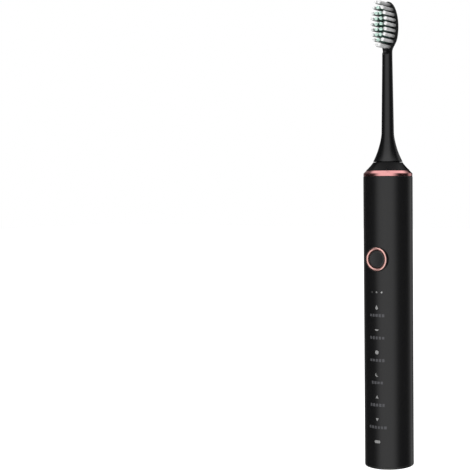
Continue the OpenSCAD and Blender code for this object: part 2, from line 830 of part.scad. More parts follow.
module motor_rear_cover() {
    color(steel) difference() {
        translate([0, 0, motor_z0]) motor_cover();
        for (a = motor_screw_angles) rotate(a) translate([motor_screw_pcd / 2, 0, motor_z0 - past])
            cylinder(r = 0.8 + fit_gap, h = cover_t + cover_spigot_h + 2 * past);
        // Outlet for the leads
        slab(lead_x + 0.8, -lead_y - 0.9, -lead_y + 0.9, motor_z0 - past,
            motor_z0 + cover_t + cover_spigot_h + past);
    }
}

module motor_front_cover() {
    color(steel) translate([0, 0, motor_z1]) mirror([0, 0, 1]) motor_cover();
}

module motor_can() {
    color([0.6, 0.61, 0.63]) ring(motor_r, can_r, motor_z0 + cover_t, motor_z1 - cover_t);
}

module bush() {
    // Flange down, at Z = 0
    difference() {
        union() {
            cylinder(r = bush_r, h = hub_h);
            translate([0, 0, -bush_flange_t]) cylinder(r = bush_flange_r, h = bush_flange_t);
        }
        translate([0, 0, -past]) cylinder(r = shaft_r + run_gap, h = hub_h + 2 * past);
    }
}

module rear_bush() {
    color(bronze) translate([0, 0, motor_z0]) bush();
}

module front_bush() {
    color(bronze) translate([0, 0, motor_z1]) mirror([0, 0, 1]) bush();
}

module stator_core() {
    color([0.4, 0.42, 0.45]) translate([0, 0, stack_z - stack_h / 2]) linear_extrude(stack_h) {
        difference() {
            circle(yoke_r);
            circle(yoke_r - yoke_t);
        }
        for (side = [-1, 1]) intersection() {
            difference() {
                union() {
                    translate([side > 0 ? pole_r + 0.2 : -yoke_r + 0.2, -neck_half_w])
                        square([yoke_r - 0.4 - pole_r, 2 * neck_half_w]);
                    intersection() {
                        circle(pole_r + shoe_t);
                        translate([side > 0 ? 0 : -yoke_r, -3.3]) square([yoke_r, 6.6]);
                    }
                }
                circle(pole_r);
            }
            translate([side > 0 ? 0 : -yoke_r, -yoke_r]) square([yoke_r, 2 * yoke_r]);
        }
    }
}

// A rectangular loop round one pole's neck, in the plane across X
module pole_loop(x0, x1, in_w, out_w, in_h, out_h) {
    for (side = [-1, 1]) translate([side > 0 ? x0 : -x1, 0, stack_z]) difference() {
        translate([0, -out_w, -out_h]) cube([x1 - x0, 2 * out_w, 2 * out_h]);
        translate([-past, -in_w, -in_h]) cube([x1 - x0 + 2 * past, 2 * in_w, 2 * in_h]);
    }
}

module winding_formers() {
    x0 = pole_r + shoe_t + fit_gap;
    x1 = sqrt(pow(winding_r, 2) - pow(neck_half_w + former_t, 2)) - 0.1;
    color([0.9, 0.88, 0.8]) pole_loop(x0, x1, neck_half_w + 0.02, neck_half_w + former_t,
        stack_h / 2 + 0.02, stack_h / 2 + former_t);
}

module stator_windings() {
    x0 = pole_r + shoe_t + fit_gap;
    x1 = sqrt(pow(winding_r, 2) - pow(winding_half_w, 2)) - 0.05;
    color(copper) pole_loop(x0, x1, neck_half_w + former_t + 0.02, winding_half_w,
        stack_h / 2 + former_t + 0.02, stack_h / 2 + 2.1);
}

module motor_leads() {
    y1 = -board_front - 0.52;
    color([0.15, 0.15, 0.16]) for (side = [-1, 1]) wire([[side * lead_x, -lead_y, motor_z0 + 1],
        [side * lead_x, -lead_y, motor_z0 - 1], [side * lead_x, y1 - 0.18, motor_z0 - 2.6],
        [side * lead_x, y1, board_z1 - 1.5], [side * lead_x, y1, board_z1 - 3]], 0.45);
}

module motor_screws() {
    head_z = frame_z1 - frame_top_t;
    color(steel) for (a = motor_screw_angles) rotate(a) translate([motor_screw_pcd / 2, 0, head_z]) {
        translate([0, 0, -0.8]) cylinder(r = 1.35, h = 0.8);
        translate([0, 0, -0.4]) cylinder(r = 0.8, h = frame_top_t + cover_t + 0.6);
    }
}

module motor_damper() {
    color(silicone_grey) ring(nest_r - fit_gap, ledge_r + 0.1, motor_z1 + 0.02, motor_z1 + damper_t - 0.02);
}

module return_spring() {
    wire_r = 0.25;
    coil_mean_r = 3.15;
    turns = 3;
    steps = 24;
    z0 = motor_z0 + hub_h + wire_r + 0.1;
    pitch = (stack_z - stack_h / 2 - 0.4 - wire_r - 0.15 - z0) / turns;
    color(steel) wire(concat([[coil_mean_r + 0.8, -1.2, z0]],
        [for (i = [0:turns * steps]) let (a = 360 * i / steps) [coil_mean_r * cos(a),
            coil_mean_r * sin(a), z0 + pitch * i / steps]],
        [[coil_mean_r + 0.8, 1.2, z0 + pitch * turns]]), wire_r);
}

module drive_shaft() {
    tip = 0.5;
    tail_z = motor_z0 - 1.2;
    color(steel) difference() {
        rotate_extrude() polygon([[0, tail_z], [shaft_r - 0.3, tail_z], [shaft_r, tail_z + 0.3],
            [shaft_r, groove_z - groove_w / 2], [shaft_r - groove_depth, groove_z - groove_w / 2 + 0.2],
            [shaft_r - groove_depth, groove_z + groove_w / 2 - 0.2], [shaft_r, groove_z + groove_w / 2],
            [shaft_r, shaft_z1 - tip], [shaft_r - tip, shaft_z1], [0, shaft_z1]]);
        slab(shaft_d, -shaft_d, -shaft_r + flat_depth, shaft_z1 - flat_l, shaft_z1 + past);
    }
}

module rotor_core() {
    h = stack_h + 0.8;
    color([0.5, 0.52, 0.55]) ring(rotor_r, shaft_r + 0.01, stack_z - h / 2, stack_z + h / 2);
}

module rotor_magnets() {
    h = stack_h - 1;
    color([0.35, 0.36, 0.38]) for (a = [0, 180]) rotate(a + 90) translate([0, 0, stack_z - h / 2])
        linear_extrude(h)
        intersection() {
            difference() {
                circle(magnet_r);
                circle(rotor_r + 0.02);
            }
            polygon([[0, 0], [2 * magnet_r, -2 * magnet_r], [2 * magnet_r, 2 * magnet_r]]);
        }
}

module shaft_clips() {
    // Retaining rings that hold the rotor between the bushes
    clip_h = 0.5;
    color(steel) for (z = [motor_z0 + hub_h + 0.3, motor_z1 - hub_h - 0.3 - clip_h])
        ring(shaft_r + 0.8, shaft_r + 0.01, z, z + clip_h);
}

// ---- Brush head ----

// Half width of the bare plate at height z, an oval
function plate_x(z) = plate_half_w * sqrt(max(0, 1 - pow((z - plate_z) / plate_half_l, 2)));

// Thickness of the plate at height z, thinner towards both ends
function plate_depth(z) = plate_t * (0.35 + 0.65 * plate_x(z) / plate_half_w);

// How far the neck has turned into the plate at height z, from 0 to 1
function blend_at(z) = let (t = min(1, max(0, (z - plate_z0) / blend_h))) t * t * (3 - 2 * t);

function stem_r(z) = let (z0 = head_z0 + flare_h)
    neck_r + (neck_top_r - neck_r) * min(1, (z - z0) / (plate_z0 - 4 - z0));

// Outline across the stem at height z: round on the neck, and a full oval round the plate,
// which the scoop then cuts flat in front
function stem_ring(z, n = 36) = let (
    b = blend_at(z),
    r = (1 - b) * (stem_r(z) - 0.03),
    w = pow(pow(r, 4) + pow(z > plate_z0 ? plate_x(z) : 0, 4), 0.25),
    mid = b * (plate_y + 0.3 * plate_depth(z)),
    back = r + b * 0.7 * plate_depth(z),
    front = r + b * (0.3 * plate_depth(z) + 1.2),
    power = 1 - 0.25 * b)
    [for (i = [0:n - 1]) let (a = 360 * (i + 0.5) / n, c = cos(a), s = sin(a))
        [w * sign(c) * pow(abs(c), power), mid + (s > 0 ? back : front) * sign(s) * pow(abs(s), power), z]];

module stem_lower() {
    flare = bezier([foot_r, head_z0], [foot_r - 1.7, head_z0 + 0.2 * flare_h],
        [neck_r + 0.6, head_z0 + 0.6 * flare_h],
        [stem_r(head_z0 + flare_h), head_z0 + flare_h], 24);
    bore_r = insert_r + fit_gap;
    rotate_extrude() polygon(concat(flare,
        [[stem_r(joint_z), joint_z], [0, joint_z], [0, insert_z1 + fit_gap],
        [bore_r, insert_z1 + fit_gap], [bore_r, head_z0 + hollow_h],
        [foot_r - foot_wall - 1.2, head_z0 + 2],
        [foot_r - foot_wall, head_z0]]));
}

module stem_upper() {
    neck_zs = [joint_z - 1, (joint_z + plate_z0) / 2, plate_z0];
    blend_zs = [for (i = [1:8]) plate_z0 + blend_h * i / 8];
    // Rings crowd towards the tip, so that it comes out round
    left = head_z1 - (plate_z0 + blend_h);
    plate_zs = [for (i = [1:13]) plate_z0 + blend_h + left * sin(90 * i / 13.5)];
    difference() {
        skin([for (z = concat(neck_zs, blend_zs, plate_zs)) stem_ring(z)]);
        scoop();
    }
}

module scoop() {
    // Clears the plate's front face, and runs out down the neck in a hollow
    far = -2 * neck_top_r;
    translate([-plate_w, 0, 0]) rotate([90, 0, 90]) linear_extrude(2 * plate_w)
        polygon(concat([[far, head_z1 + past]],
        [[far, plate_z0 - 1.6]],
        bezier([-neck_top_r - 0.2, plate_z0 - 1.6], [-neck_top_r + 1, plate_z0 - 0.9],
            [plate_y - 0.1, plate_z0 - 0.4],
            [plate_y, plate_z0 + 1.6], 10),
        [[plate_y, head_z1 + past]]));
}

function row_z(k) = field_z + (k - row_last / 2) * row_pitch;
function row_x(k) = field_w / 2 * pow(1 - pow(abs(row_z(k) - field_z) / field_half_l, 1.7), 1 / 1.7);
function tuft_x(k, i) = let (n = row_tufts[k]) row_x(k) * (2 * i / (n - 1) - 1);
function tuft_free(k) = tuft_l + tuft_rise * pow(abs(k - row_last / 2) / (row_last / 2), 3);
// The stem's back at x and z, and how deep a tuft's hole may go in front of it
function back_y(x, z) = let (
    b = blend_at(z),
    r = (1 - b) * (stem_r(z) - 0.03),
    w = pow(pow(r, 4) + pow(plate_x(z), 4), 0.25),
    power = 1 - 0.25 * b)
    b * (plate_y + 0.3 * plate_depth(z))
        + (r + b * 0.7 * plate_depth(z)) * pow(max(0, 1 - pow(min(1, abs(x) / w), 2 / power)), power / 2);
function hole_l(k, i) = let (x = abs(tuft_x(k, i)) + 0.7 * tuft_r)
    min(hole_depth, min([for (d = [-0.7, 0.7]) back_y(x, row_z(k) + d * tuft_r)]) - plate_y - hole_floor);
function is_green(k, i) = i > 0 && i < row_tufts[k] - 1;

module brush_stem() {
    color(black) difference() {
        union() {
            stem_lower();
            stem_upper();
        }
        for (k = [0:row_last], i = [0:row_tufts[k] - 1]) on_front(row_z(k), tuft_x(k, i))
            translate([0, 0, -plate_y - hole_l(k, i)])
                cylinder(r = tuft_r + 0.01, h = hole_l(k, i) + plate_t);
    }
}

module anchor(k, i, gap) {
    translate([tuft_x(k, i), plate_y + hole_l(k, i) - anchor_h - gap, row_z(k)])
        slab(anchor_t / 2 + gap, 0, anchor_h + gap + (gap > 0 ? past : 0), -tuft_r * 0.9 - gap,
            tuft_r * 0.9 + gap);
}

module tuft(k, i) {
    difference() {
        on_front(row_z(k), tuft_x(k, i)) translate([0, 0, -plate_y - hole_l(k, i) + 0.02])
            cylinder(r = tuft_r, h = hole_l(k, i) - 0.02 + tuft_free(k));
        anchor(k, i, 0.02);
    }
}

module white_tufts() {
    color([0.93, 0.93, 0.93]) for (k = [0:row_last], i = [0:row_tufts[k] - 1]) if (!is_green(k, i))
        tuft(k, i);
}

module green_tufts() {
    color([0.45, 0.75, 0.62]) for (k = [0:row_last], i = [0:row_tufts[k] - 1]) if (is_green(k, i))
        tuft(k, i);
}

module tuft_anchors() {
    color([0.8, 0.7, 0.45]) for (k = [0:row_last], i = [0:row_tufts[k] - 1]) anchor(k, i, 0);
}

module stem_insert() {
    bore_top_z = shaft_z1 + 0.3;
    flat_z = shaft_z1 - flat_l + 0.3;
    color([0.85, 0.85, 0.86]) difference() {
        translate([0, 0, insert_z0]) cylinder(r = insert_r, h = insert_z1 - insert_z0);
        translate([0, 0, insert_z0 - past]) cylinder(r = shaft_r + fit_gap, h = flat_z - insert_z0 + past);
        translate([0, 0, flat_z - past]) intersection() {
            cylinder(r = shaft_r + fit_gap, h = bore_top_z - flat_z + past);
            slab(shaft_d, -shaft_r + flat_depth - fit_gap, shaft_d, 0, bore_top_z - flat_z + past);
        }
        slab(clip_w / 2 + fit_gap, shaft_r * 0.5, insert_r + past, clip_z0 - 0.1, clip_z1 + 0.1);
    }
}

module insert_clip() {
    // Leaf with a ridge that drops into the shaft's groove
    y0 = shaft_r + fit_gap + 0.03;
    ridge_r = groove_depth * 0.9;
    color(steel) union() {
        slab(clip_w / 2, y0, y0 + clip_t, clip_z0, clip_z1);
        slab(clip_w / 2 - 0.3, shaft_r - groove_depth + 0.06, y0 + clip_t / 2, groove_z - ridge_r,
            groove_z + ridge_r);
    }
}

housing();
trim_ring();
shoulder_cap();
shoulder_o_ring();
shaft_seal();
seal_retainer();
base_cap();
base_o_ring();
button_bezel();
button_cap();
button_seal();
seal_clamp();
switch_body();
switch_plunger();
light_guide();
light_shield();
indicator_leds();
circuit_board();
controller_chip();
board_parts();
board_screws();
inner_frame();
cell_can();
cell_cap();
cell_core();
cell_sleeve();
cell_contacts();
cell_pads();
coil_former();
charging_coil();
coil_leads();
motor_can();
motor_front_cover();
motor_rear_cover();
front_bush();
rear_bush();
stator_core();
winding_formers();
stator_windings();
motor_leads();
motor_screws();
motor_damper();
return_spring();
drive_shaft();
rotor_core();
rotor_magnets();
shaft_clips();
brush_stem();
stem_insert();
insert_clip();
white_tufts();
green_tufts();
tuft_anchors();
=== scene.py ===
import math

import bmesh
import bpy
from mathutils import Matrix, Vector


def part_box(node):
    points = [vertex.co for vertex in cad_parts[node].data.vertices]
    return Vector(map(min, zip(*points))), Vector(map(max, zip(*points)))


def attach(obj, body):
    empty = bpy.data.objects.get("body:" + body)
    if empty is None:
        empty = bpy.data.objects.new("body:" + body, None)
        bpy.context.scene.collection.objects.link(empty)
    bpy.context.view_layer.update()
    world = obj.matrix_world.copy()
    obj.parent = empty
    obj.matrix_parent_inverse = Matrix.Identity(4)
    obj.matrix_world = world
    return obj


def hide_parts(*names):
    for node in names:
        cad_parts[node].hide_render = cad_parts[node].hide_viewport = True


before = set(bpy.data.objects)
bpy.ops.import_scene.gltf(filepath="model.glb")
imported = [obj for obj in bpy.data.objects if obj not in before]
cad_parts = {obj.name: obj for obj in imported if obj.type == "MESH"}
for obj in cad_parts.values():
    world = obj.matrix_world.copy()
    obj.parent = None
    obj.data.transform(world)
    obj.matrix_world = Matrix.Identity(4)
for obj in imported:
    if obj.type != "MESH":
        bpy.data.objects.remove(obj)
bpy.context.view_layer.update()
mm = 0.001


# Shader and geometry node helpers

def opaque(value):  # a plain colour gets its fourth number, and anything else passes through
    return (*value, 1) if isinstance(value, tuple) and len(value) == 3 else value


def shaded(colour, share):  # the same colour, darker or lighter
    return tuple(min(1, c * share) for c in colour)


class Wire:  # one node socket, ready for plain sums
    def __init__(self, maker, socket):
        self.maker, self.socket = maker, socket

    def __add__(self, other):
        return self.maker.math("ADD", self, other)

    def __radd__(self, other):
        return self.maker.math("ADD", other, self)

    def __sub__(self, other):
        return self.maker.math("SUBTRACT", self, other)

    def __rsub__(self, other):
        return self.maker.math("SUBTRACT", other, self)

    def __mul__(self, other):
        return self.maker.math("MULTIPLY", self, other)

    def __rmul__(self, other):
        return self.maker.math("MULTIPLY", other, self)

    def __truediv__(self, other):
        return self.maker.math("DIVIDE", self, other)

    def __pow__(self, other):
        return self.maker.math("POWER", self, other)


class Maker:  # adds nodes to one tree
    def __init__(self, tree):
        self.tree = tree

    def node(self, kind, settings=None, inputs=None, out=0):
        made = self.tree.nodes.new(kind)
        for name, value in (settings or {}).items():
            setattr(made, name, value)
        for key, value in (inputs or {}).items():
            self.join(made.inputs[key], value)
        return Wire(self, made.outputs[out])

    def join(self, socket, value):
        if isinstance(value, Wire):
            self.tree.links.new(value.socket, socket)
        elif isinstance(value, bpy.types.NodeSocket):
            self.tree.links.new(value, socket)
        else:
            socket.default_value = value

    def other(self, wire, name):  # another output of the same node
        return Wire(self, wire.socket.node.outputs[name])

    def math(self, operation, *values):
        return self.node("ShaderNodeMath", {"operation": operation}, dict(enumerate(values)))

    def vector(self, operation, *values):
        return self.node("ShaderNodeVectorMath", {"operation": operation}, dict(enumerate(values)))

    def scaled(self, vector, amount):
        return self.node("ShaderNodeVectorMath", {"operation": "SCALE"}, {0: vector, "Scale": amount})

    def random(self, low, high, seed):  # one number for each point
        return self.node("FunctionNodeRandomValue", {"data_type": "FLOAT"},
                         {2: low, 3: high, "Seed": seed}, out=1)

    def randomVector(self, low, high, seed):
        return self.node("FunctionNodeRandomValue", {"data_type": "FLOAT_VECTOR"},
                         {0: low, 1: high, "Seed": seed})

    def mix(self, factor, first, second):  # colours, so through a Mix node
        first, second = opaque(first), opaque(second)
        return self.node("ShaderNodeMix", {"data_type": "RGBA"}, {0: factor, 6: first, 7: second}, out=2)

    def multiply(self, first, second):  # colours
        settings = {"data_type": "RGBA", "blend_type": "MULTIPLY"}
        return self.node("ShaderNodeMix", settings, {0: 1.0, 6: first, 7: second}, out=2)

    def rise(self, value, edge, soft):  # 0 below the edge and 1 above it
        return self.node("ShaderNodeMapRange", {"interpolation_type": "SMOOTHSTEP"},
                         {0: value, 1: edge - soft, 2: edge + soft})

    def band(self, value, low, high, soft):  # 1 between low and high
        return self.rise(value, low, soft) * (1 - self.rise(value, high, soft))

    def spread(self, value, low, high):  # stretches low..high to 0..1
        return self.node("ShaderNodeMapRange", {}, {0: value, 1: low, 2: high})


shaderSockets = {
    "colour": "Base Color", "roughness": "Roughness", "metallic": "Metallic", "normal": "Normal",
    "coat": "Coat Weight", "coatRoughness": "Coat Roughness", "specular": "Specular IOR Level",
}


class Paint(Maker):  # a material under way
    def __init__(self, name):
        self.material = bpy.data.materials.new(name)
        self.material.use_nodes = True
        super().__init__(self.material.node_tree)
        self.shader = self.tree.nodes["Principled BSDF"]
        self.place = self.node("ShaderNodeTexCoord", out="Object")
        parts = self.node("ShaderNodeSeparateXYZ", {}, {0: self.place})
        self.x, self.y, self.z = parts, self.other(parts, "Y"), self.other(parts, "Z")

    def noise(self, perMetre, detail=2, stretch=(1, 1, 1)):
        spot = self.vector("MULTIPLY", self.place, stretch)
        return self.node("ShaderNodeTexNoise", {}, {"Vector": spot, "Scale": perMetre, "Detail": detail})

    def cells(self, perMetre, feature="F1"):
        return self.node("ShaderNodeTexVoronoi", {"feature": feature},
                         {"Vector": self.place, "Scale": perMetre})

    def bump(self, height, depth, strength):
        return self.node("ShaderNodeBump", {}, {"Height": height, "Distance": depth, "Strength": strength})

    def set(self, **values):
        for name, value in values.items():
            self.join(self.shader.inputs[shaderSockets[name]], opaque(value))
        return self.material


# Finishes

def moulded(name, colour, roughness, grain, depth, coat=0.0, shift=0.12, specular=0.5):
    paint = Paint(name)
    fine = paint.noise(grain, 3)
    broad = paint.noise(45)
    return paint.set(
        colour=paint.mix(broad, shaded(colour, 1 - shift), shaded(colour, 1 + shift)),
        roughness=fine * 0.06 + broad * 0.04 + (roughness - 0.05),
        normal=paint.bump(fine, depth * mm, 0.35), coat=coat, coatRoughness=0.12, specular=specular)


def rubbery(name, colour, roughness):
    paint = Paint(name)
    dust = paint.cells(2600)
    broad = paint.noise(90, 3)
    return paint.set(
        colour=paint.mix(broad * 0.6 + dust * 0.3, shaded(colour, 0.8), shaded(colour, 1.2)),
        roughness=broad * 0.14 + (roughness - 0.07), normal=paint.bump(dust, 0.01 * mm, 0.4))


def turnedMetal(name, colour, roughness, lines=9000, around="z", shift=0.06, metal=1.0):
    paint = Paint(name)
    stretch = {"z": (0.02, 0.02, 1), "y": (0.02, 1, 0.02), "x": (1, 0.02, 0.02)}[around]
    cut = paint.noise(lines, stretch=stretch)
    broad = paint.noise(120)
    return paint.set(
        colour=paint.mix(broad, shaded(colour, 1 - shift), shaded(colour, 1 + shift)),
        metallic=metal, roughness=cut * 0.1 + broad * 0.05 + (roughness - 0.07),
        normal=paint.bump(cut, 0.002 * mm, 0.3))


def woundWire(name, colour, perMetre, axis="z"):
    paint = Paint(name)
    along = {"x": paint.x, "y": paint.y, "z": paint.z}[axis]
    # Painted shade: the colour darkens in the grooves between the turns
    turn = paint.math("ABSOLUTE", paint.math("SINE", along * (math.pi * perMetre)))
    broad = paint.noise(300)
    return paint.set(
        colour=paint.mix(turn, shaded(colour, 0.35), colour),
        metallic=0.85, roughness=0.3 + broad * 0.12, normal=paint.bump(turn, 0.06 * mm, 0.8), coat=0.4)


def stackedSteel(name, colour, sheetsPerMetre=2000):
    paint = Paint(name)
    sheet = paint.band(paint.math("FRACT", paint.z * sheetsPerMetre), 0.12, 0.9, 0.06)
    broad = paint.noise(260, 3)
    return paint.set(
        colour=paint.mix(sheet * (0.7 + broad * 0.3), shaded(colour, 0.35), colour),
        metallic=0.9, roughness=0.5 - sheet * 0.14 + broad * 0.06,
        normal=paint.bump(sheet, 0.03 * mm, 0.6))


def boardMask(name):
    paint = Paint(name)
    flat = paint.node("ShaderNodeCombineXYZ", {}, {0: paint.z, 1: paint.x})
    tracks = paint.node("ShaderNodeTexBrick", {"offset": 0.5},
                        {"Vector": flat, "Scale": 160, "Mortar Size": 0.03, "Mortar Smooth": 0.2}, "Fac")
    pads = paint.band(paint.cells(420), 0.0, 0.16, 0.02)
    green = paint.mix(tracks, (0.012, 0.10, 0.045), (0.03, 0.21, 0.09))
    return paint.set(
        colour=paint.mix(pads, green, (0.75, 0.62, 0.3)), metallic=pads,
        roughness=0.3 + paint.noise(500) * 0.1, normal=paint.bump(tracks + pads, 0.03 * mm, 0.5), coat=0.3)


def foamed(name, colour):
    paint = Paint(name)
    pore = paint.cells(1400, "SMOOTH_F1")
    # Painted shade: the colour darkens in the pits of the pores
    return paint.set(
        colour=paint.mix(pore, shaded(colour, 0.4), colour), roughness=0.85 + pore * 0.1,
        normal=paint.bump(pore, 0.15 * mm, 0.9))


lensValues = {"dotRow": (92, 97), "dotSide": 3.2, "edge": 0.3}  # mm: heights of the row, its half width


def frostedLens(name):
    # The three level dots brighten from left to right, and the mode marks are even
    paint = Paint(name)
    side, edge = lensValues["dotSide"] * mm, lensValues["edge"] * mm
    low, high = (height * mm for height in lensValues["dotRow"])
    dots = paint.mix(paint.spread(paint.x, -side, side), (0.03, 0.03, 0.03), (0.24, 0.24, 0.24))
    inRow = paint.band(paint.z, low, high, edge)
    haze = paint.noise(900)
    face = paint.mix(haze, (0.15, 0.15, 0.15), (0.21, 0.21, 0.21))
    return paint.set(
        colour=paint.mix(inRow, face, dots), roughness=0.32 + haze * 0.12,
        normal=paint.bump(haze, 0.004 * mm, 0.3))


def filamentFibre(name, rootShade, side, tip, tipStart):
    # Painted shade: dark between the roots and darker along the sides, and clear at the rounded ends
    paint = Paint(name)
    along = paint.node("ShaderNodeAttribute", {"attribute_name": "along"}, out=2)
    strand = paint.noise(4200, stretch=(1, 0.03, 1))
    shade = paint.mix(strand, (0.45, 0.45, 0.45), (1.0, 1.0, 1.0))
    # painted shade from the roots up the sides, with strand streaks
    body = paint.multiply(paint.mix(paint.spread(along, 0.0, 0.45), rootShade, side), shade)
    colour = paint.mix(paint.band(along, tipStart, 2.0, 0.03), body, tip)
    return paint.set(colour=colour, roughness=0.38 + strand * 0.12, specular=0.35)


def printedInk(name):
    paint = Paint(name)
    grainy = paint.noise(4200, 3)
    return paint.set(
        colour=paint.mix(grainy, (0.03, 0.03, 0.033), (0.06, 0.06, 0.066)), roughness=0.5 + grainy * 0.15,
        normal=paint.bump(grainy, 0.004 * mm, 0.4))


print("frame loaded, helpers ready")

finishes = {
    "softBlack": moulded("softBlack", (0.0042, 0.0042, 0.0045), 0.29, 5200, 0.003, shift=0.06),
    "shoulderBlack": moulded("shoulderBlack", (0.0022, 0.0022, 0.0024), 0.26, 3000, 0.003, specular=0.12),
    "stemBlack": moulded("stemBlack", (0.0035, 0.0035, 0.0038), 0.26, 3000, 0.003),
    "baseBlack": moulded("baseBlack", (0.010, 0.010, 0.010), 0.34, 3000, 0.004),
    "roseRing": turnedMetal("roseRing", (0.92, 0.42, 0.41), 0.18),
    "roseBezel": turnedMetal("roseBezel", (0.96, 0.54, 0.49), 0.24, around="y", metal=0.93),
    "buttonSatin": moulded("buttonSatin", (0.010, 0.010, 0.0105), 0.40, 4200, 0.005, shift=0.08),
    "windowFrost": frostedLens("windowFrost"),
    "siliconeGrey": rubbery("siliconeGrey", (0.16, 0.17, 0.18), 0.55),
    "springSteel": turnedMetal("springSteel", (0.62, 0.63, 0.65), 0.22, 7000),
    "groundSteel": turnedMetal("groundSteel", (0.72, 0.73, 0.75), 0.16, 12000),
    "drawnSteel": turnedMetal("drawnSteel", (0.55, 0.56, 0.58), 0.3, 5000, shift=0.1),
    "stampedSteel": turnedMetal("stampedSteel", (0.62, 0.63, 0.64), 0.34, 3600, "x", shift=0.12),
    "oiledBronze": turnedMetal("oiledBronze", (0.55, 0.34, 0.17), 0.42, 2600, shift=0.2),
    "copperTurns": woundWire("copperTurns", (0.80, 0.33, 0.14), 5000),
    "copperStator": woundWire("copperStator", (0.78, 0.31, 0.13), 4500, "x"),
    "laminations": stackedSteel("laminations", (0.42, 0.44, 0.47)),
    "platedMagnet": turnedMetal("platedMagnet", (0.50, 0.50, 0.49), 0.2, 2000, shift=0.08),
    "filledNylon": moulded("filledNylon", (0.30, 0.31, 0.32), 0.5, 1500, 0.02),
    "darkNylon": moulded("darkNylon", (0.035, 0.032, 0.03), 0.48, 1500, 0.02),
    "creamNylon": moulded("creamNylon", (0.66, 0.61, 0.47), 0.45, 1500, 0.02),
    "boardMask": boardMask("boardMask"),
    "chipResin": moulded("chipResin", (0.02, 0.02, 0.02), 0.6, 4000, 0.02),
    "tanCeramic": moulded("tanCeramic", (0.34, 0.24, 0.15), 0.4, 2500, 0.01, shift=0.3),
    "diodeResin": moulded("diodeResin", (0.82, 0.78, 0.55), 0.25, 2500, 0.004),
    "canNickel": turnedMetal("canNickel", (0.60, 0.60, 0.60), 0.25, 4000),
    "foilRoll": stackedSteel("foilRoll", (0.35, 0.33, 0.32)),
    "shrinkSleeve": moulded("shrinkSleeve", (0.02, 0.09, 0.34), 0.22, 700, 0.03, coat=0.4),
    "nickelStrip": turnedMetal("nickelStrip", (0.70, 0.68, 0.60), 0.3, 3000, "x"),
    "padFoam": foamed("padFoam", (0.05, 0.05, 0.05)),
    "redLead": rubbery("redLead", (0.48, 0.03, 0.02), 0.5),
    "blackLead": rubbery("blackLead", (0.03, 0.03, 0.03), 0.5),
    "acetal": moulded("acetal", (0.72, 0.72, 0.70), 0.35, 2000, 0.006),
    "anchorBrass": turnedMetal("anchorBrass", (0.70, 0.52, 0.24), 0.3, 5000, "x"),
}
nodesByFinish = {
    "softBlack": ("housing",),
    "roseRing": ("trim_ring",),
    "shoulderBlack": ("shoulder_cap",),
    "siliconeGrey": ("shoulder_o_ring", "shaft_seal", "base_o_ring", "button_seal", "motor_damper"),
    "stampedSteel": ("seal_retainer", "switch_body"),
    "baseBlack": ("base_cap",),
    "roseBezel": ("button_bezel",),
    "buttonSatin": ("button_cap",),
    "filledNylon": ("seal_clamp", "inner_frame"),
    "chipResin": ("switch_plunger", "controller_chip"),
    "windowFrost": ("light_guide",),
    "darkNylon": ("light_shield", "coil_former"),
    "diodeResin": ("indicator_leds",),
    "boardMask": ("circuit_board",),
    "tanCeramic": ("board_parts",),
    "groundSteel": ("board_screws", "motor_screws", "drive_shaft"),
    "canNickel": ("cell_can", "cell_cap"),
    "foilRoll": ("cell_core",),
    "shrinkSleeve": ("cell_sleeve",),
    "nickelStrip": ("cell_contacts",),
    "padFoam": ("cell_pads",),
    "copperTurns": ("charging_coil",),
    "redLead": ("coil_leads",),
    "drawnSteel": ("motor_can", "motor_front_cover", "motor_rear_cover"),
    "oiledBronze": ("front_bush", "rear_bush"),
    "laminations": ("stator_core", "rotor_core"),
    "creamNylon": ("winding_formers",),
    "copperStator": ("stator_windings",),
    "blackLead": ("motor_leads",),
    "springSteel": ("return_spring", "shaft_clips", "insert_clip"),
    "platedMagnet": ("rotor_magnets",),
    "acetal": ("stem_insert",),
    "anchorBrass": ("tuft_anchors",),
}
for finishName, nodeNames in nodesByFinish.items():
    for nodeName in nodeNames:
        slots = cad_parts[nodeName].data.materials
        slots.clear()
        slots.append(finishes[finishName])
print("finishes on", sum(len(nodeNames) for nodeNames in nodesByFinish.values()), "frame nodes")


# Mesh helpers

def meshObject(name, verts, faces, finish):
    mesh = bpy.data.meshes.new(name)
    mesh.from_pydata(verts, [], faces)
    mesh.update()
    obj = bpy.data.objects.new(name, mesh)
    bpy.context.scene.collection.objects.link(obj)
    mesh.materials.append(finish)
    mesh.polygons.foreach_set("use_smooth", [True] * len(mesh.polygons))
    return obj


def turnOut(obj):  # faces point outwards
    work = bmesh.new()
    work.from_mesh(obj.data)
    bmesh.ops.recalc_face_normals(work, faces=work.faces)
    work.to_mesh(obj.data)
    work.free()
    obj.data.update()


def applied(obj):  # the evaluated object as a plain mesh
    view = bpy.context.evaluated_depsgraph_get()
    view.update()
    mesh = bpy.data.meshes.new_from_object(obj.evaluated_get(view), depsgraph=view)
    obj.modifiers.clear()
    obj.data = mesh
    mesh.name = obj.name


def bezier(a, b, c, d, t):
    u = 1 - t
    shares = (u ** 3, 3 * u * u * t, 3 * u * t * t, t ** 3)
    return tuple(sum(share * at for share, at in zip(shares, places)) for places in zip(a, b, c, d))


def skinFaces(rings, n, first=0):  # quads between rings of n corners each
    return [[first + k * n + i, first + k * n + (i + 1) % n, first + (k + 1) * n + (i + 1) % n,
             first + (k + 1) * n + i] for k in range(rings - 1) for i in range(n)]


# Brush stem: one closed skin from the insert's bore, round the foot and up over the plate

